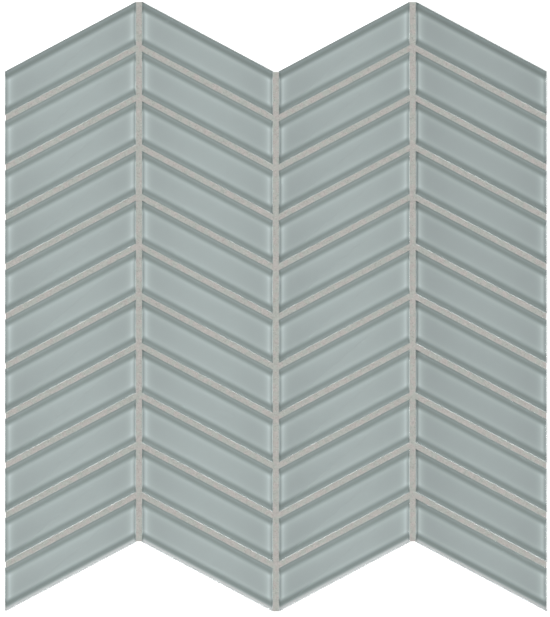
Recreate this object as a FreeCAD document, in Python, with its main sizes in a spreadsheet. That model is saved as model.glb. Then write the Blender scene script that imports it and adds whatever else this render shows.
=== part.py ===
import FreeCAD, Part
import math
import os
import Sketcher

# Chevron glass mosaic sheet: slanting glass chips in columns that rise and fall by turns,
# grouted, on one sheet of mesh. It lies face up: X runs across the columns, Y up the sheet and
# Z out of the face. The origin is at the centre of the back. Column 1 is at the left and row 1
# at the top.

# Driving dimensions, in millimetres and degrees.
SIZES = {
    "columns": 4,
    "rows": 11,
    "strip_width": 19.2,        # a chip, square to its long edges
    "chip_run": 64.8,           # a chip along X, between its upright ends
    "chevron_angle": 28.0,      # the long edges from X
    "slant_joint": 2.4,         # between chips of one column, square to their long edges
    "upright_joint": 2.6,       # between columns
    "glass_thickness": 8.0,
    "edge_round": 1.0,          # radius of the softened edges of a chip's face
    "grout_recess": 0.4,        # grout surface below the glass faces
    "grout_setback": 0.3,       # grout inside the outer edges of the glass, square to them
    "mesh_thickness": 0.5,
    "mesh_setback": 1.5,        # mesh inside the outer edges of the glass, square to them
}

# Lengths that follow from the driving dimensions.
SLOPE = "tan(Sizes.chevron_angle)"
COLUMN_PITCH = "(Sizes.chip_run + Sizes.upright_joint)"
ROW_PITCH = "((Sizes.strip_width + Sizes.slant_joint) / cos(Sizes.chevron_angle))"
CHIP_SIDE = "(Sizes.strip_width / cos(Sizes.chevron_angle))"
COLUMN_SIDE = f"((Sizes.rows - 1) * {ROW_PITCH} + {CHIP_SIDE})"
SHEET_WIDTH = f"(Sizes.columns * {COLUMN_PITCH} - Sizes.upright_joint)"

doc = FreeCAD.newDocument("chevron_mosaic_sheet")
sheet = doc.addObject("Spreadsheet::Sheet", "Sizes")
for line, (name, value) in enumerate(SIZES.items(), start=1):
    sheet.set(f"A{line}", name)
    sheet.set(f"B{line}", str(value))
    sheet.setAlias(f"B{line}", name)
doc.recompute()

columns = round(sheet.columns)
rows = round(sheet.rows)
slope = math.tan(math.radians(sheet.chevron_angle))


def rises(column):
    """Whether a column's chips climb from left to right: the first does, and then every other."""
    return column % 2 == 0


def flat_sketch(body, points):
    """A closed outline through the points, on the body's own XY plane, not yet dimensioned."""
    plane = next(item for item in body.Origin.OriginFeatures if item.Role == "XY_Plane")
    sketch = body.newObject("Sketcher::SketchObject", body.Name + "_outline")
    sketch.AttachmentSupport = (plane, "")
    sketch.MapMode = "FlatFace"
    corners = [FreeCAD.Vector(x, y, 0) for x, y in points]
    for start, end in zip(corners, corners[1:] + corners[:1]):
        sketch.addGeometry(Part.LineSegment(start, end), False)
    for index in range(len(corners)):
        following = (index + 1) % len(corners)
        sketch.addConstraint(Sketcher.Constraint("Coincident", index, 2, following, 1))
    return sketch


def dimension(sketch, kind, first, second, length):
    """A driving dimension from one point to another, each given as its line and its end."""
    start = sketch.getPoint(*first)
    end = sketch.getPoint(*second)
    drawn = end.x - start.x if kind == "DistanceX" else end.y - start.y
    index = sketch.addConstraint(Sketcher.Constraint(kind, *first, *second, drawn))
    sketch.setExpression(f"Constraints[{index}]", length)


def climb(sketch, line, upwards, length):
    """A line's height, measured from its lower end to its upper end."""
    ends = ((line, 1), (line, 2))
    lower, upper = ends if upwards else ends[::-1]
    dimension(sketch, "DistanceY", lower, upper, length)


def pad(body, sketch, length):
    """The outline raised to a plate."""
    plate = body.newObject("PartDesign::Pad", body.Name + "_plate")
    plate.Profile = sketch
    plate.setExpression("Length", length)
    doc.recompute()
    return plate


def glass_chip(column, row):
    """One chip: a parallelogram with upright ends, the four edges of its face rounded over."""
    body = doc.addObject("PartDesign::Body", f"glass_chip_c{column + 1}_r{row + 1:02d}")
    half_run = sheet.chip_run / 2
    half_side = sheet.strip_width / math.cos(math.radians(sheet.chevron_angle)) / 2
    half_climb = half_run * slope * (1 if rises(column) else -1)
    sketch = flat_sketch(body, [
        (-half_run, -half_climb - half_side),
        (half_run, half_climb - half_side),
        (half_run, half_climb + half_side),
        (-half_run, -half_climb + half_side),
    ])
    sketch.addConstraint(Sketcher.Constraint("Symmetric", 0, 1, 2, 1, -1, 1))
    sketch.addConstraint(Sketcher.Constraint("Symmetric", 1, 1, 3, 1, -1, 1))
    sketch.addConstraint(Sketcher.Constraint("Vertical", 1))
    dimension(sketch, "DistanceX", (0, 1), (0, 2), "Sizes.chip_run")
    dimension(sketch, "DistanceY", (1, 1), (1, 2), CHIP_SIDE)
    climb(sketch, 0, rises(column), f"Sizes.chip_run * {SLOPE}")

    plate = pad(body, sketch, "Sizes.glass_thickness")
    heights = [face.CenterOfMass.z for face in plate.Shape.Faces]
    front = heights.index(max(heights)) + 1
    soft_edges = body.newObject("PartDesign::Fillet", body.Name + "_soft_edges")
    soft_edges.Base = (plate, [f"Face{front}"])
    soft_edges.setExpression("Radius", "Sizes.edge_round")
    body.Tip = soft_edges

    body.setExpression("Placement.Base.x", f"({column} - (Sizes.columns - 1) / 2) * {COLUMN_PITCH}")
    body.setExpression("Placement.Base.y", f"((Sizes.rows - 1) / 2 - {row}) * {ROW_PITCH}")
    body.setExpression("Placement.Base.z", "Sizes.mesh_thickness")
    return body


def zigzag_plate(name, setback, thickness):
    """A plate over the whole sheet, its zigzag outline set back from the outer edges of the glass.

    The outline goes along the upper zigzag from left to right, straight across the end of each upright
    joint, and back along the lower zigzag.
    """
    body = doc.addObject("PartDesign::Body", name)
    end_inset = f"({setback} / cos(Sizes.chevron_angle))"
    end_span = f"(Sizes.chip_run - {setback})"
    spans = [end_span if column in (0, columns - 1) else "Sizes.chip_run" for column in range(columns)]

    upper = []
    x, y = 0.0, sheet.rows * sheet.strip_width
    for column in range(columns):
        upper.append((x, y))
        x += sheet.chip_run
        y += sheet.chip_run * slope * (1 if rises(column) else -1)
        upper.append((x, y))
        x += sheet.upright_joint
    lower = [(x, y - sheet.rows * sheet.strip_width) for x, y in reversed(upper)]
    sketch = flat_sketch(body, upper + lower)

    left_side = 4 * columns - 1
    sketch.addConstraint(Sketcher.Constraint("Vertical", left_side))
    dimension(sketch, "DistanceY", (left_side, 1), (left_side, 2), f"{COLUMN_SIDE} - 2 * {end_inset}")
    for column in range(columns):
        above = 2 * column
        below = left_side - 1 - above
        dimension(sketch, "DistanceX", (above, 1), (above, 2), spans[column])
        climb(sketch, above, rises(column), f"{spans[column]} * {SLOPE}")
        dimension(sketch, "DistanceX", (below, 2), (below, 1), spans[column])
        sketch.addConstraint(Sketcher.Constraint("Parallel", above, below))
    for column in range(columns - 1):
        above = 2 * column + 1
        below = left_side - 1 - above
        for line, ends in ((above, (1, 2)), (below, (2, 1))):
            sketch.addConstraint(Sketcher.Constraint("Horizontal", line))
            dimension(sketch, "DistanceX", (line, ends[0]), (line, ends[1]), "Sizes.upright_joint")
    dimension(sketch, "DistanceX", (0, 1), (-1, 1), f"{SHEET_WIDTH} / 2 - {setback}")
    dimension(sketch, "DistanceY", (left_side, 1), (-1, 1),
              f"{COLUMN_SIDE} / 2 - {end_inset} + (Sizes.chip_run / 2 - {setback}) * {SLOPE}")
    body.Tip = pad(body, sketch, thickness)
    return body


def grout_lattice(chips):
    """The grout: a plate up to its finished level, less the chips that are bedded in it."""
    bed = zigzag_plate("grout_bed", "Sizes.grout_setback", "Sizes.glass_thickness - Sizes.grout_recess")
    bed.setExpression("Placement.Base.z", "Sizes.mesh_thickness")
    seats = doc.addObject("Part::Compound", "chip_seats")
    seats.Links = chips
    grout = doc.addObject("Part::Cut", "grout")
    grout.Base = bed
    grout.Tool = seats
    return grout


glass = [glass_chip(column, row) for column in range(columns) for row in range(rows)]
pieces = glass + [
    grout_lattice(glass),
    zigzag_plate("mesh_backing", "Sizes.mesh_setback", "Sizes.mesh_thickness"),
]
doc.recompute()

for item in doc.Objects:
    if "Invalid" in item.State or "Error" in item.State:
        raise RuntimeError(f"{item.Label} did not build: {item.State}")
for piece in pieces:
    if piece.Shape.isNull() or not piece.Shape.isValid() or len(piece.Shape.Solids) != 1:
        raise RuntimeError(f"{piece.Label} is not one sound solid")

os.makedirs("parts", exist_ok=True)
for piece in pieces:
    piece.Shape.exportStep(f"parts/{piece.Label}.step")
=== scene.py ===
import math

import bmesh
import bpy
import numpy as np
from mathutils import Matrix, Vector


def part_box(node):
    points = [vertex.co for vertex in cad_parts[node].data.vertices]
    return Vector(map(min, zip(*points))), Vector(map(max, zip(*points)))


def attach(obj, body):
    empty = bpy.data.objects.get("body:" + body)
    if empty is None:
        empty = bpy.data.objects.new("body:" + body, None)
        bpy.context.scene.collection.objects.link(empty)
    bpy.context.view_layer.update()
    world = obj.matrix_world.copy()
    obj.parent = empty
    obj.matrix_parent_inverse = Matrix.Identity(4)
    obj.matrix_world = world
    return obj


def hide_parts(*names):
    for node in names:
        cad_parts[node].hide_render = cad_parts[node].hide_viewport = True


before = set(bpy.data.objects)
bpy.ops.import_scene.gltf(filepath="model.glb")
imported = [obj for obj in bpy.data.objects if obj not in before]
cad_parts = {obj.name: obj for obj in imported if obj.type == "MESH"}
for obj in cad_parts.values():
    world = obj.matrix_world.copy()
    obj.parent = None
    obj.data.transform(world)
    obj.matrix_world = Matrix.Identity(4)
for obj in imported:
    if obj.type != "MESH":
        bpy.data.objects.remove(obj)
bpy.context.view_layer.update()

# Looks of the chevron glass mosaic sheet: clear glass chips with a colour coat on their backs, sanded
# grout between them and a woven glass-fibre mesh behind. Lengths are in metres. The sheet lies face up:
# X runs across the columns, Y up the sheet and Z out of the face.

MM = 0.001
COLUMNS = 4
ROWS = 11
CHEVRON_ANGLE = math.radians(28)
SLOPE = math.tan(CHEVRON_ANGLE)


def chip_name(column, row):
    """The node of a chip, column 0 at the left and row 0 at the top."""
    return f"glass_chip_c{column + 1}_r{row + 1:02d}"


def chip_middle(column, row):
    """The middle of a chip in plan, from its node's corners."""
    lowest, highest = (np.array(corner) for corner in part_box(chip_name(column, row)))
    return (lowest + highest)[:2] / 2


# Sizes that follow from the nodes.
LOWEST, HIGHEST = (np.array(corner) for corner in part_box(chip_name(0, 0)))
CHIP_RUN = HIGHEST[0] - LOWEST[0]
CHIP_SIDE = HIGHEST[1] - LOWEST[1] - CHIP_RUN * SLOPE
STRIP_WIDTH = CHIP_SIDE * math.cos(CHEVRON_ANGLE)
GLASS_BACK = LOWEST[2]
GLASS_FACE = HIGHEST[2]
COLUMN_PITCH, _ = chip_middle(1, 0) - chip_middle(0, 0)
_, ROW_PITCH = chip_middle(0, 0) - chip_middle(0, 1)
GROUT_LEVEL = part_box("grout")[1][2]
HALF_UPRIGHT_JOINT = (COLUMN_PITCH - CHIP_RUN) / 2
HALF_SLANT_JOINT = (ROW_PITCH - CHIP_SIDE) * math.cos(CHEVRON_ANGLE) / 2

# Glass chips.
EDGE_ROUND = 1.0 * MM           # radius of the softened edges of the face
CORNER_ROUND = 0.3 * MM         # radius of the upright corners
ARRIS = 0.15 * MM               # small chamfer round the back
SHOULDER = GLASS_FACE - EDGE_ROUND
ROUND_STEPS = 14
CORNER_STEPS = 4
SHARP_FROM = math.radians(40)   # edges that turn by more than this stay crisp

# Grout.
GROUT_SETBACK = 0.3 * MM        # inside the outer edges of the glass
GLASS_CLEARANCE = 0.015 * MM    # keeps the grout's surface off the glass that it lies against
GROUT_DISH = 0.2 * MM           # how far the middle of a joint is tooled below its edges
GROUT_STATION = 1.4 * MM        # spacing of sections along a joint
CLIMB_STEPS = 4                 # of a section, up the softened edge of the glass
TOP_STEPS = 6                   # of a section, over the dished top
EDGE_WANDER = 0.1 * MM          # unevenness of the grout's edge on the glass, in height
EDGE_WAVE = 6 * MM
MIDDLE_WANDER = 0.05 * MM       # unevenness of the joint's middle
MIDDLE_WAVE = 4 * MM
WELD_REACH = 0.002 * MM         # points nearer than this become one

# Mesh on the back.
MESH_SETBACK = 1.5 * MM
MESH_PITCH = 5.0 * MM
MESH_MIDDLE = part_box("mesh_backing")[1][2] / 2
STRAND_WIDTH = 1.0 * MM
STRAND_HEIGHT = 0.22 * MM
STRAND_WAVE = 0.11 * MM         # how far a strand rises and dips at the ones it crosses
STRAND_SIDES = 6

# Glass finishes: colour, and roughness where it is smoothest and where it is roughest.
CLEAR = (0.97, 0.99, 0.985)
# SHADED glass goes on the rims at the chips' ends: painted shade there.
SHADED = (0.68, 0.71, 0.70)
FACE_ROUGHNESS = (0.0, 0.02)
RIM_ROUGHNESS = (0.2, 0.27)
RIM_GLOSS = 0.35                # roughness of the gleams on the rim

# How light the coat is painted, against its middle: by the distance in from a long edge, and by the distance
# in from an end, in millimetres. All of it is painted shade and light: the dark band along the long edges and
# the thin dark line at the ends are painted shade that the glass edges throw on the coat, the lighter stripes
# just inside them are painted light that the rounded edges gather onto it, and the slight dip a few
# millimetres in from the ends is painted shade as well.
PAINTED_EDGE_SHADE_AND_LIGHT = [
    (0.0, 0.94), (1.0, 0.795), (1.5, 0.705), (2.05, 0.662), (2.45, 0.672), (2.85, 0.75), (3.25, 0.86),
    (3.7, 0.98), (4.05, 1.07), (4.5, 1.11), (4.95, 1.10), (5.45, 1.06), (6.15, 1.03), (7.5, 1.005),
    (9.0, 1.0),
]
PAINTED_END_SHADE_AND_LIGHT = [
    (0.0, 0.85), (0.36, 0.85), (0.96, 0.93), (1.41, 1.06), (1.96, 1.27), (2.41, 1.27), (2.91, 1.17),
    (3.36, 1.10), (3.86, 1.05), (4.76, 0.99), (5.76, 0.965), (6.76, 0.955), (10.0, 0.955), (13.0, 0.965),
    (17.0, 0.98), (21.0, 0.99), (28.0, 1.0),
]
LIGHTEST_SHADE = 1.4            # no shade is above this
INSIDE_BAND = (2.7, 4.7)        # from a long edge, where its dark band gives way
# Column tones and painted shade: the columns grow darker to the right, where the light falls off.
COLUMN_TONES_AND_SHADE = np.array([1.026, 1.021, 1.018, 0.952])
CHIP_TONES = (0.99, 1.01)       # the darkest and the lightest chip of a column
TONE_SEED = 7

# By row, the painted shade bands along the sheet's own upper and lower edges: the side that they lie on, how
# much further in they lie, in millimetres, and how much darker their painted shade is.
OUTER_PAINTED_SHADE_BANDS = {0: (1.0, 0.2, 0.13), ROWS - 1: (-1.0, 1.0, 0.06)}
NO_OUTER_BAND = (0.0, 0.0, 0.0)
MOVED_FROM = (2.0, 4.5)         # from a chip's middle line, where the shift of such a band sets in
DARKER_FROM = (4.5, 6.5)        # and where its darkening does
LIT_WITHIN = (0.8, 2.5)         # from the sheet's lower edge, where light through that edge fades out
# How much lighter the painted light from the lower edge makes the coat.
LIT_GAIN = 0.65

# Colour of the coat's enamel: greener in its painted shade bands, plain in its middle, and paler in the
# painted light where light comes in through the lower edge.
PAINTED_SHADE_ENAMEL = (0.343, 0.385, 0.3795)
MIDDLE_ENAMEL = (0.349, 0.378, 0.3795)
PAINTED_LIGHT_ENAMEL = (0.398, 0.387, 0.393)


def lean(column):
    """Which way a column's chips climb from left to right: up in the first, then by turns."""
    return 1 if column % 2 == 0 else -1


def chip_outline(column):
    """Corners of a chip about its middle, anticlockwise from the lower left, and its sides' outward normals.

    Side 0 is the lower long side, 1 the right end, 2 the upper long side and 3 the left end.
    """
    half_run = CHIP_RUN / 2
    half_side = CHIP_SIDE / 2
    climb = lean(column) * SLOPE * half_run
    corners = np.array([
        (-half_run, -climb - half_side),
        (half_run, climb - half_side),
        (half_run, climb + half_side),
        (-half_run, -climb + half_side),
    ])
    along = np.roll(corners, -1, axis=0) - corners
    normals = np.stack([along[:, 1], -along[:, 0]], axis=1)
    return corners, normals / np.linalg.norm(normals, axis=1, keepdims=True)


def new_object(name, points, faces, materials, face_materials=None):
    """A mesh object at the origin, smooth except across its sharp edges."""
    mesh = bpy.data.meshes.new(name)
    mesh.from_pydata(points, [], faces, shade_flat=False)
    for material in materials:
        mesh.materials.append(material)
    if face_materials is not None:
        mesh.polygons.foreach_set("material_index", face_materials)
    mesh.set_sharp_from_angle(angle=SHARP_FROM)
    piece = bpy.data.objects.new(name, mesh)
    bpy.context.collection.objects.link(piece)
    return piece


def grid_faces(rings, stations, closed):
    """Quads of a grid of rings by stations, whose points are numbered ring by ring."""
    columns = stations if closed else stations - 1
    ring, station = np.meshgrid(np.arange(rings - 1), np.arange(columns), indexing="ij")
    following = (station + 1) % stations
    quads = [
        ring * stations + station,
        ring * stations + following,
        (ring + 1) * stations + following,
        (ring + 1) * stations + station,
    ]
    return np.stack(quads, axis=-1).reshape(-1, 4)


def chip_rings(column):
    """Rings of points round a chip in plan, and the height of each ring.

    The profile goes from the back, up the side and over a quarter round to the face, and is carried round
    the outline. At each corner the outline turns on an arc: its centre lies on the corner's mitre line,
    inside by the inset and the arc's radius, and the arc goes from one side's normal to the next.
    """
    bend = np.linspace(0, math.pi / 2, ROUND_STEPS + 1)
    inset = np.concatenate([[ARRIS, 0], EDGE_ROUND * (1 - np.cos(bend)), [EDGE_ROUND + ARRIS]])
    side = [GLASS_BACK, GLASS_BACK + ARRIS]
    height = np.concatenate([side, SHOULDER + EDGE_ROUND * np.sin(bend), [GLASS_FACE]])

    corners, normals = chip_outline(column)
    before = np.roll(normals, 1, axis=0)
    cosine = np.sum(before * normals, axis=1, keepdims=True)
    mitre = (before + normals) / (1 + cosine)
    turn = np.arccos(cosine)[:, :, None]
    share = np.linspace(0, 1, CORNER_STEPS + 1)[None, :, None]
    swing = np.sin((1 - share) * turn) * before[:, None] + np.sin(share * turn) * normals[:, None]
    arc = swing / np.sin(turn)
    centres = corners - (inset[:, None, None] + CORNER_ROUND) * mitre
    flat = (centres[:, :, None] + CORNER_ROUND * arc).reshape(len(inset), -1, 2)
    return flat, height


def glass_chip(column, row, tone_and_shade, materials):
    """One chip: its rings of points joined by quads, and closed by a face at the back and one in front."""
    flat, height = chip_rings(column)
    rings, stations = flat.shape[:2]
    points = np.empty((rings, stations, 3))
    points[..., :2] = chip_middle(column, row) + flat
    points[..., 2] = height[:, None]

    quads = grid_faces(rings, stations, closed=True)
    back = np.arange(stations)[::-1]
    front = (rings - 1) * stations + np.arange(stations)
    faces = quads.tolist() + [back.tolist(), front.tolist()]
    glass, rim, shaded_end_rim, edge, coat = range(5)
    side = np.arange(stations) // (CORNER_STEPS + 1)
    at_an_end = side % 2 == 1
    bands = np.array([coat, edge] + [rim] * ROUND_STEPS + [glass])[:, None] + 0 * side
    # The rims at the ends take the darker glass, as painted shade there.
    bands[2:-1, at_an_end] = shaded_end_rim
    face_materials = np.append(bands, [coat, glass]).astype(np.int32)
    name = f"chip_c{column + 1}_r{row + 1:02d}"
    piece = new_object(name, points.reshape(-1, 3), faces, materials, face_materials)

    across = (flat[..., 1] - lean(column) * SLOPE * flat[..., 0]) * math.cos(CHEVRON_ANGLE)
    place = np.stack([flat[..., 0], across, np.full(across.shape, tone_and_shade)], axis=-1)
    outer = np.broadcast_to(OUTER_PAINTED_SHADE_BANDS.get(row, NO_OUTER_BAND), place.shape)
    for carried, vectors in (("place", place), ("outer", outer)):
        attribute = piece.data.attributes.new(carried, "FLOAT_VECTOR", "POINT")
        attribute.data.foreach_set("vector", vectors.ravel())
    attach(piece, "root")
    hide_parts(chip_name(column, row))


def wander(points, wavelength):
    """A smooth unevenness, mostly between -1 and 1: six sine waves, each its own way and length, added up."""
    waves = 6
    first_way = 0.3
    way_step = 0.381 * math.pi
    shortest = 0.7
    length_step = 0.13
    wave = np.arange(waves)
    direction = wave * way_step + first_way
    length = wavelength * (shortest + length_step * wave)
    x, y = points[..., :1], points[..., 1:2]
    phase = x * (np.cos(direction) / length) + y * (np.sin(direction) / length)
    return np.sum(np.sin(2 * math.pi * phase + wave ** 2), axis=-1) / math.sqrt(waves)


def corner_reach(normal, neighbour, out, beyond):
    """From a corner, the point that lies out from one side and beyond the neighbouring one."""
    determinant = normal[0] * neighbour[1] - normal[1] * neighbour[0]
    x = (out * neighbour[1] - beyond * normal[1]) / determinant
    y = (beyond * normal[0] - out * neighbour[0]) / determinant
    return np.stack([x, y], axis=-1)


def joint_half(column, row, side, joined):
    """Half of the joint along one side of a chip, from the chip to the joint's middle line.

    The section is a profile of distance out from the glass and height: in under the joint, up the glass,
    round its softened edge and over the dished top to the middle line. It is carried from one corner to
    the next, between mitre lines, or a straight cut just inside the corner where nothing adjoins.
    """
    corners, normals = chip_outline(column)
    half_width = (HALF_SLANT_JOINT, HALF_UPRIGHT_JOINT)[side % 2]
    other_width = (HALF_UPRIGHT_JOINT, HALF_SLANT_JOINT)[side % 2]
    following = (side + 1) % 4
    length = np.linalg.norm(corners[following] - corners[side])
    stations = math.ceil(length / GROUT_STATION) + 1
    share = np.linspace(0, 1, stations)[:, None]

    def carried(out):
        """Points of the sheet's plane at each station, by their distance out from the glass."""
        ends = []
        for corner, neighbour in ((side, (side - 1) % 4), (following, following)):
            if joined[neighbour]:
                facing = normals[neighbour]
                beyond = np.where(out > 0, out * other_width / half_width, out)
            else:
                facing = np.round(normals[neighbour])
                beyond = np.full_like(out, -GROUT_SETBACK / normals[neighbour].dot(facing))
            ends.append(corners[corner] + corner_reach(normals[side], facing, out, beyond))
        start, end = ends
        return chip_middle(column, row) + (1 - share[..., None]) * start + share[..., None] * end

    glass_line = carried(np.zeros((stations, 1)))
    middle_line = carried(np.full((stations, 1), half_width))
    edge_height = GROUT_LEVEL - EDGE_WANDER * (1 - wander(glass_line, EDGE_WAVE)) / 2
    middle_height = GROUT_LEVEL - GROUT_DISH - MIDDLE_WANDER * wander(middle_line, MIDDLE_WAVE)

    radius = EDGE_ROUND + GLASS_CLEARANCE
    edge_bend = np.arcsin((edge_height - SHOULDER) / radius)
    bend = edge_bend * np.linspace(0, 1, CLIMB_STEPS + 1)
    climb_out = GLASS_CLEARANCE - radius * (1 - np.cos(bend))
    climb_height = SHOULDER + radius * np.sin(bend)
    over = np.linspace(0, 1, TOP_STEPS + 1)[1:]
    settle = 1 - (1 - over) ** 2
    edge_out = climb_out[:, -1:]
    top_out = edge_out + over * (half_width - edge_out)
    top_height = edge_height + settle * (middle_height - edge_height)

    floor = np.full((stations, 1), GLASS_BACK)
    floor_middle = np.full_like(floor, half_width)
    floor_edge = np.full_like(floor, GLASS_CLEARANCE)
    out = np.concatenate([floor_middle, floor_edge, climb_out, top_out], axis=1)
    height = np.concatenate([floor, floor, climb_height, top_height], axis=1)
    points = np.concatenate([carried(out), height[..., None]], axis=-1)
    sections = out.shape[1]
    faces = grid_faces(stations, sections, closed=False)[:, ::-1].tolist()
    if not joined[(side - 1) % 4]:
        faces.append(np.arange(sections).tolist())
    if not joined[following]:
        faces.append(((stations - 1) * sections + np.arange(sections))[::-1].tolist())
    return points.reshape(-1, 3), faces


def join_parts(parts):
    """Several sets of points and faces as one."""
    starts = np.cumsum([0] + [len(points) for points, _ in parts]).tolist()
    faces = []
    for start, (_, part) in zip(starts, parts):
        faces += [[index + start for index in face] for face in part]
    return np.concatenate([points for points, _ in parts]), faces


def grout_lattice(material):
    """The grout between all the chips: the halves of every joint, welded along their middle lines."""
    halves = []
    for column in range(COLUMNS):
        for row in range(ROWS):
            joined = (row < ROWS - 1, column < COLUMNS - 1, row > 0, column > 0)
            halves += [joint_half(column, row, side, joined) for side in range(4) if joined[side]]
    points, faces = join_parts(halves)
    piece = new_object("grout_lattice", points, faces, [material])
    mesh = bmesh.new()
    mesh.from_mesh(piece.data)
    bmesh.ops.remove_doubles(mesh, verts=mesh.verts, dist=WELD_REACH)
    mesh.to_mesh(piece.data)
    mesh.free()
    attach(piece, "root")
    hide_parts("grout")


def zigzag_ends(place, setback):
    """The upper and lower ends of the sheet at a place along X, set back square to the outer edges."""
    nearest, furthest = HALF_UPRIGHT_JOINT, COLUMN_PITCH - HALF_UPRIGHT_JOINT
    from_peak = np.clip(abs(abs(place) - COLUMN_PITCH), nearest, furthest)
    half_height = (ROWS - 1) / 2 * ROW_PITCH + CHIP_SIDE / 2 - setback / math.cos(CHEVRON_ANGLE)
    middle = SLOPE * COLUMN_PITCH / 2 - SLOPE * from_peak
    return middle + half_height, middle - half_height


def zigzag_spans(height, setback):
    """Where a level line across the sheet lies inside its zigzag outline, as pairs of its ends.

    Both zigzags climb and fall by the chevron's slope about the two peaks, so a point is inside when its
    distance from the nearer peak, along X, is at most the way to the upper zigzag and at least the way to
    the lower one.
    """
    peak = COLUMN_PITCH
    half_width = COLUMN_PITCH * COLUMNS / 2 - HALF_UPRIGHT_JOINT - setback
    top, bottom = zigzag_ends(peak, setback)
    to_upper = (top - height) / SLOPE
    to_lower = (bottom - height) / SLOPE
    inner = (max(peak - to_upper, 0), peak - max(to_lower, 0))
    outer = (peak + max(to_lower, 0), min(peak + to_upper, half_width))
    spans = [inner, outer] if to_lower > 0 else [(inner[0], outer[1])]
    spans = [span for span in spans if span[1] - span[0] > MESH_PITCH]
    mirrored = [(-end, -start) for start, end in spans]
    if spans and spans[0][0] == 0:
        joined = (mirrored[0][0], spans[0][1])
        return mirrored[1:] + [joined] + spans[1:]
    return mirrored + spans


def strand(start, end, across, along_axis, phase):
    """One strand: an oval section carried along a straight run, waving over and under those it crosses."""
    stations = math.ceil((end - start) / (MESH_PITCH / 2)) + 1
    way = np.linspace(start, end, stations)[:, None]
    angle = np.linspace(0, 2 * math.pi, STRAND_SIDES, endpoint=False)[None, :]
    wave = STRAND_WAVE * np.cos(math.pi * (way / MESH_PITCH + phase))
    side = across + STRAND_WIDTH / 2 * np.cos(angle) + 0 * way
    height = MESH_MIDDLE + wave + STRAND_HEIGHT / 2 * np.sin(angle)
    way = way + 0 * angle
    columns = [way, side] if along_axis == 0 else [side, way]
    points = np.stack(columns + [height], axis=-1)
    faces = grid_faces(stations, STRAND_SIDES, closed=True)
    if along_axis == 0:
        faces = faces[:, ::-1]
    first = np.arange(STRAND_SIDES)
    last = (stations - 1) * STRAND_SIDES + first
    caps = [first[::-1], last] if along_axis == 1 else [first, last[::-1]]
    return points.reshape(-1, 3), faces.tolist() + [cap.tolist() for cap in caps]


def fibre_mesh(material):
    """The mesh on the back: strands along X and along Y that pass over and under each other."""
    half_width = COLUMN_PITCH * COLUMNS / 2 - HALF_UPRIGHT_JOINT - MESH_SETBACK
    half_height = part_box("mesh_backing")[1][1]
    parts = []
    half_count = int(half_width / MESH_PITCH)
    for index in range(-half_count, half_count + 1):
        top, bottom = zigzag_ends(index * MESH_PITCH, MESH_SETBACK)
        parts.append(strand(bottom, top, index * MESH_PITCH, 1, index))
    half_count = int(half_height / MESH_PITCH)
    for index in range(-half_count, half_count + 1):
        for start, end in zigzag_spans(index * MESH_PITCH, MESH_SETBACK):
            parts.append(strand(start, end, index * MESH_PITCH, 0, index + 1))
    points, faces = join_parts(parts)
    piece = new_object("fibre_mesh", points, faces, [material])
    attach(piece, "root")
    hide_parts("mesh_backing")


# Places of a Mix node's sockets for colours, and the middle of a noise's range, where most of it lies.
MIX_COLOURS = (6, 7)
MIX_RESULT = 2
NOISE_MIDDLE = (0.35, 0.65)


class Value:
    """A socket's value that does arithmetic: each operation adds the Math node for it."""

    def __init__(self, tree, socket):
        self.tree = tree
        self.socket = socket

    def math(self, operation, *terms):
        """What a Math node makes of these terms, each a value or a number."""
        made = self.tree.nodes.new("ShaderNodeMath")
        made.operation = operation
        for place, term in enumerate(terms):
            if isinstance(term, Value):
                self.tree.links.new(term.socket, made.inputs[place])
            else:
                made.inputs[place].default_value = term
        return Value(self.tree, made.outputs[0])

    def __add__(self, other):
        return self.math("ADD", self, other)

    def __radd__(self, other):
        return self.math("ADD", other, self)

    def __sub__(self, other):
        return self.math("SUBTRACT", self, other)

    def __rsub__(self, other):
        return self.math("SUBTRACT", other, self)

    def __mul__(self, other):
        return self.math("MULTIPLY", self, other)

    def __rmul__(self, other):
        return self.math("MULTIPLY", other, self)

    def __truediv__(self, other):
        return self.math("DIVIDE", self, other)

    def __abs__(self):
        return self.math("ABSOLUTE", self)


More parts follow.
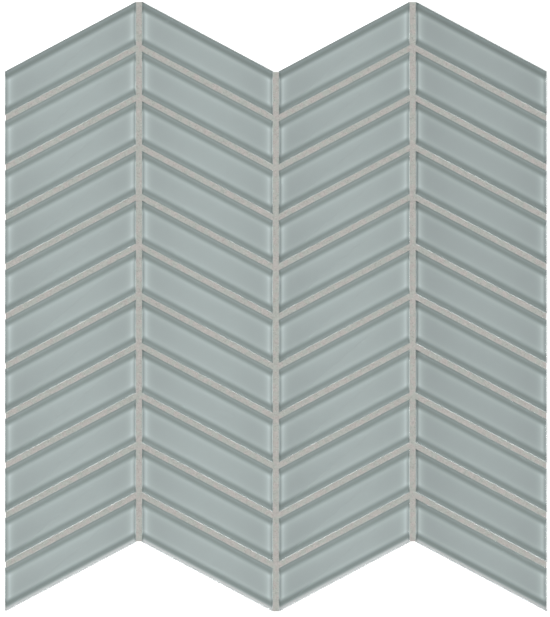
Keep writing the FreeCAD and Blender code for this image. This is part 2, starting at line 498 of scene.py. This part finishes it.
class Finish:
    """A material under construction, with its nodes."""

    def __init__(self, name):
        self.material = bpy.data.materials.new(name)
        self.material.use_nodes = True
        self.tree = self.material.node_tree
        self.tree.nodes.clear()

    def node(self, kind, settings=None, sockets=None):
        """A node of a kind: its settings first, then the values or links of its sockets."""
        made = self.tree.nodes.new(kind)
        for name, value in (settings or {}).items():
            if name == "stops":
                stops = made.color_ramp.elements
                for place, (position, colour) in enumerate(value):
                    stop = stops[place] if place < 2 else stops.new(position)
                    stop.position = position
                    stop.color = (*colour, 1)
            else:
                setattr(made, name, value)
        for name, value in (sockets or {}).items():
            if isinstance(value, Value):
                self.tree.links.new(value.socket, made.inputs[name])
            elif isinstance(value, bpy.types.NodeSocket):
                self.tree.links.new(value, made.inputs[name])
            else:
                made.inputs[name].default_value = value
        return made

    def value(self, socket):
        """A socket of this material, ready for arithmetic."""
        return Value(self.tree, socket)

    def surface(self, shader):
        """Ends the material with this shader."""
        self.node("ShaderNodeOutputMaterial", sockets={"Surface": shader.outputs[0]})
        return self.material

    def object_place(self):
        """The place on the piece, in metres."""
        return self.node("ShaderNodeTexCoord").outputs["Object"]

    def carried_values(self, attribute):
        """The three values of one of the piece's own vector attributes."""
        own = self.node("ShaderNodeAttribute", {"attribute_name": attribute})
        parts = self.node("ShaderNodeSeparateXYZ", sockets={"Vector": own.outputs["Vector"]})
        return [self.value(parts.outputs[axis]) for axis in "XYZ"]

    def first_channel(self, colour):
        """The first of a colour's three channels, as a value."""
        parts = self.node("ShaderNodeSeparateColor", sockets={"Color": colour})
        return self.value(parts.outputs[0])

    def noise(self, place, size, detail=2.0, roughness=0.5):
        """Noise between 0 and 1 whose lumps are about the given size across."""
        sockets = {"Vector": place, "Scale": 1 / size, "Detail": detail, "Roughness": roughness}
        return self.value(self.node("ShaderNodeTexNoise", sockets=sockets).outputs["Fac"])

    def rise(self, value, low, high):
        """A smooth step from 0 at the low value to 1 at the high one."""
        sockets = {"Value": value, "From Min": low, "From Max": high}
        made = self.node("ShaderNodeMapRange", {"interpolation_type": "SMOOTHSTEP"}, sockets)
        return self.value(made.outputs[0])

    def profile(self, value, stops):
        """A shade read off straight lines between stops, each a place and the shade there."""
        reach = stops[-1][0]
        first, *between, last = [(place / reach, (shade / LIGHTEST_SHADE,) * 3) for place, shade in stops]
        ramp = {"stops": [first, last] + between}
        made = self.node("ShaderNodeValToRGB", ramp, {"Fac": value / reach})
        return self.first_channel(made.outputs["Color"]) * LIGHTEST_SHADE

    def tinted(self, shade, colour):
        """A colour made lighter or darker by a shade."""
        sockets = {0: colour, "Scale": shade}
        return self.node("ShaderNodeVectorMath", {"operation": "SCALE"}, sockets).outputs[0]

    def blend(self, share, first, second):
        """A colour between two, each a link or three numbers."""
        sockets = {"Factor": share}
        for place, colour in zip(MIX_COLOURS, (first, second)):
            sockets[place] = colour if isinstance(colour, bpy.types.NodeSocket) else (*colour, 1)
        return self.node("ShaderNodeMix", {"data_type": "RGBA"}, sockets).outputs[MIX_RESULT]


def clear_glass(name, colour, roughness, soft_gloss=None):
    """Clear glass, slightly wavy and smoother in some stretches than in others. It hardly casts a shadow.

    With a soft gloss, its outer skin gives broad gleams of that roughness, not the glass's own sharp ones.
    """
    finish = Finish(name)
    place = finish.object_place()
    smoothest, roughest = roughness
    ripple = 9 * MM
    stretch = 50 * MM
    waviness = finish.noise(place, ripple, detail=1.0)
    dullness = finish.rise(finish.noise(place, stretch, detail=1.0), *NOISE_MIDDLE)
    bump = finish.node("ShaderNodeBump", sockets={"Height": waviness, "Distance": 0.01 * MM, "Strength": 1.0})
    skin = {}
    if soft_gloss:
        skin = {"Coat Weight": 1.0, "Coat Roughness": soft_gloss, "Specular Tint": (0, 0, 0, 1)}
    glass = finish.node("ShaderNodeBsdfPrincipled", sockets={
        "Base Color": (*colour, 1),
        "Roughness": smoothest + (roughest - smoothest) * dullness,
        "IOR": 1.52,
        "Transmission Weight": 1.0,
        "Normal": bump.outputs[0],
        **skin,
    })
    let_through = finish.node("ShaderNodeBsdfTransparent", sockets={"Color": (0.93, 0.96, 0.95, 1)})
    shader = finish.node("ShaderNodeMixShader", sockets={
        0: finish.node("ShaderNodeLightPath").outputs["Is Shadow Ray"],
        1: glass.outputs[0],
        2: let_through.outputs[0],
    })
    return finish.surface(shader)


def ground_edge():
    """The ground side of a chip: frosted grey-green glass."""
    finish = Finish("ground_edge")
    pit = 0.4 * MM
    frost = finish.noise(finish.object_place(), pit, detail=3.0)
    shader = finish.node("ShaderNodeBsdfPrincipled", sockets={
        "Base Color": finish.blend(frost, (0.30, 0.36, 0.35), (0.40, 0.46, 0.45)),
        "Roughness": 0.45 + 0.2 * frost,
        "Specular IOR Level": 0.15,
    })
    return finish.surface(shader)


def coat_painted_light_and_shade():
    """The coat on a chip's back: grey-green enamel, a little uneven, each chip a shade of its own.

    It carries painted shade in a band along the long edges, for the shade that the glass edges throw on it,
    and painted light just inside that band and at the ends, for the light that the rounded edges gather onto
    it. The bands follow the chip's own place: along it, across it square to its long edges, and how light the
    chip is as a whole, which also holds painted shade that deepens towards the right of the sheet. Along the
    sheet's own upper and lower edges the bands lie further in and their painted shade is deeper, and outside
    the lower one the coat is painted pale, for the light that comes in through the edge.
    """
    finish = Finish("coat_painted_light_and_shade")
    patch = 5 * MM
    darkest_patch = 0.99
    patch_range = 0.02
    mottle = finish.noise(finish.object_place(), patch, detail=3.0)
    along, across, tone_and_shade = finish.carried_values("place")
    outer_side, further_in, darker = finish.carried_values("outer")

    towards_outer = outer_side * across / MM
    near_outer = finish.rise(towards_outer, *DARKER_FROM)
    edge_distance = (STRIP_WIDTH / 2 - abs(across)) / MM
    lower_edge = (abs(outer_side) - outer_side) / 2
    lit = lower_edge * near_outer * (1 - finish.rise(edge_distance, *LIT_WITHIN))

    from_edge = edge_distance - further_in * finish.rise(towards_outer, *MOVED_FROM)
    from_end = (CHIP_RUN / 2 - abs(along)) / MM
    inside_band = finish.rise(from_edge, *INSIDE_BAND)
    # Painted shade and light of the bands, deeper along the sheet's outer edges, lit at its lower edge.
    band = finish.profile(from_edge, PAINTED_EDGE_SHADE_AND_LIGHT) * (1 - darker * near_outer) * (1 + LIT_GAIN * lit)
    end = 1 + (finish.profile(from_end, PAINTED_END_SHADE_AND_LIGHT) - 1) * inside_band
    shade = band * end * tone_and_shade * (darkest_patch + patch_range * mottle)
    # The enamel, greener in the painted shade bands and paler in the painted light at the lower edge.
    enamel = finish.blend(lit, finish.blend(inside_band, PAINTED_SHADE_ENAMEL, MIDDLE_ENAMEL), PAINTED_LIGHT_ENAMEL)
    shader = finish.node("ShaderNodeBsdfPrincipled", sockets={
        "Base Color": finish.tinted(shade, enamel),
        "Roughness": 0.6,
        "Specular IOR Level": 0.0,
    })
    return finish.surface(shader)


def sanded_grout():
    """Warm grey cement grout: clouded paste with fine sand, each grain a tint of its own."""
    finish = Finish("sanded_grout")
    place = finish.object_place()
    cloud_size = 6 * MM
    blush_size = 3 * MM
    sand_size = 0.55 * MM
    grain_size = 0.6 * MM
    grain_share = 0.9
    grain_relief = 0.4
    cloud = finish.noise(place, cloud_size, detail=2.0)
    blush = finish.rise(finish.noise(place, blush_size, detail=2.0), *NOISE_MIDDLE)
    sand = finish.noise(place, sand_size, detail=3.0, roughness=0.7)
    grains = finish.node("ShaderNodeTexVoronoi", sockets={"Vector": place, "Scale": 1 / grain_size})
    grain_tints = {"stops": [
        (0.0, (0.27, 0.267, 0.248)),
        (1.0, (0.472, 0.456, 0.435)),
        (0.35, (0.366, 0.369, 0.344)),
        (0.8, (0.386, 0.378, 0.364)),
    ]}
    grain = finish.first_channel(grains.outputs["Color"])
    grain_tint = finish.node("ShaderNodeValToRGB", grain_tints, {"Fac": grain})
    paste = finish.blend(cloud, (0.342, 0.344, 0.324), (0.395, 0.398, 0.3745))
    sanded = finish.blend(sand * grain_share, paste, grain_tint.outputs["Color"])
    warmth = finish.blend(blush, (0.965, 1.01, 0.99), (1.04, 0.985, 0.99))
    colour = finish.node("ShaderNodeVectorMath", {"operation": "MULTIPLY"}, {0: sanded, 1: warmth})
    bump = finish.node("ShaderNodeBump", sockets={
        "Height": sand + grain_relief * finish.value(grains.outputs["Distance"]),
        "Distance": 0.12 * MM,
        "Strength": 0.8,
    })
    shader = finish.node("ShaderNodeBsdfPrincipled", sockets={
        "Base Color": colour.outputs[0],
        "Roughness": 0.85 + 0.1 * sand,
        "Normal": bump.outputs[0],
        "Specular IOR Level": 0.1,
    })
    return finish.surface(shader)


def glass_fibre():
    """Off-white glass-fibre strands with a fine unevenness."""
    finish = Finish("glass_fibre")
    fibre_size = 0.3 * MM
    fibres = finish.noise(finish.object_place(), fibre_size, detail=2.0)
    bump = finish.node("ShaderNodeBump", sockets={"Height": fibres, "Distance": 0.05 * MM, "Strength": 0.7})
    shader = finish.node("ShaderNodeBsdfPrincipled", sockets={
        "Base Color": finish.blend(fibres, (0.70, 0.70, 0.66), (0.86, 0.86, 0.83)),
        "Roughness": 0.55 + 0.2 * fibres,
        "Normal": bump.outputs[0],
    })
    return finish.surface(shader)


def pale_floor():
    """The floor: white, and bright enough to stay white in the sheet's shadow."""
    finish = Finish("pale_floor")
    shader = finish.node("ShaderNodeBsdfPrincipled", sockets={
        "Base Color": (0.85, 0.85, 0.85, 1),
        "Roughness": 0.9,
        "Specular IOR Level": 0.0,
        "Emission Color": (1, 1, 1, 1),
        "Emission Strength": 0.6,
    })
    return finish.surface(shader)


def add_floor():
    """A square floor at the level of the sheet's back."""
    half = 3.0
    corners = [(-half, -half, 0), (half, -half, 0), (half, half, 0), (-half, half, 0)]
    floor = new_object("floor", corners, [(0, 1, 2, 3)], [pale_floor()])


def softbox(name, place, width, height, power, reflected):
    """A rectangular lamp that looks at the middle of the sheet.

    It either lights the sheet or shows as a gleam on its glass.
    """
    lamp = bpy.data.lights.new(name, "AREA")
    lamp.shape = "RECTANGLE"
    lamp.size = width
    lamp.size_y = height
    lamp.energy = power
    holder = bpy.data.objects.new(name, lamp)
    bpy.context.collection.objects.link(holder)
    x, y, z = place
    holder.location = place
    holder.rotation_euler = (-math.atan2(y, z), math.atan2(x, math.hypot(y, z)), 0)
    holder.visible_camera = False
    holder.visible_transmission = False
    holder.visible_glossy = reflected
    holder.visible_diffuse = not reflected


def add_lights():
    """A softbox above, a low strip beyond the lower edge and one beyond the right edge, and a pale room."""
    long_side = 0.4
    strip_width = 0.025
    strip_away = 0.27
    strip_height = 0.0175
    above = (-0.2, 0.0, 2.4)
    softbox("overhead_softbox", above, long_side, long_side, power=53.5, reflected=False)
    below = (0.0, -strip_away, strip_height)
    softbox("lower_gleam", below, long_side, strip_width, power=3.6, reflected=True)
    beside = (strip_away, 0.0, strip_height)
    softbox("right_gleam", beside, strip_width, long_side, power=1.4, reflected=True)
    world = bpy.data.worlds.new("studio")
    world.use_nodes = True
    background = world.node_tree.nodes["Background"]
    background.inputs["Color"].default_value = (1, 1, 1, 1)
    background.inputs["Strength"].default_value = 0.3
    bpy.context.scene.world = world


def add_camera():
    """Straight down on the sheet: the frame's height at the glass faces is that of the photograph."""
    distance = 6.0
    frame_height = 0.3039
    aim_x = -0.0004
    aim_y = -0.0009
    sensor = 36.0
    camera = bpy.data.cameras.new("camera")
    camera.sensor_width = sensor
    camera.lens = sensor * distance / frame_height
    camera.clip_start = 0.05
    holder = bpy.data.objects.new("camera", camera)
    bpy.context.collection.objects.link(holder)
    holder.location = (aim_x, aim_y, GLASS_FACE + distance)
    bpy.context.scene.camera = holder


glass_materials = [
    clear_glass("polished_face", CLEAR, FACE_ROUGHNESS),
    clear_glass("soft_rim", CLEAR, RIM_ROUGHNESS, RIM_GLOSS),
    clear_glass("shaded_end_rim", SHADED, RIM_ROUGHNESS, RIM_GLOSS),
    ground_edge(),
    coat_painted_light_and_shade(),
]
# Each chip's random tone times its column's tone and painted shade.
tones_and_shade = np.random.default_rng(TONE_SEED).uniform(*CHIP_TONES, (COLUMNS, ROWS)) * COLUMN_TONES_AND_SHADE[:, None]
for column in range(COLUMNS):
    for row in range(ROWS):
        glass_chip(column, row, tones_and_shade[column, row], glass_materials)
grout_lattice(sanded_grout())
fibre_mesh(glass_fibre())
add_floor()
add_lights()
add_camera()
bpy.context.scene.view_settings.view_transform = "Standard"
bpy.context.scene.cycles.blur_glossy = 0
bpy.context.scene.cycles.sample_clamp_direct = 6
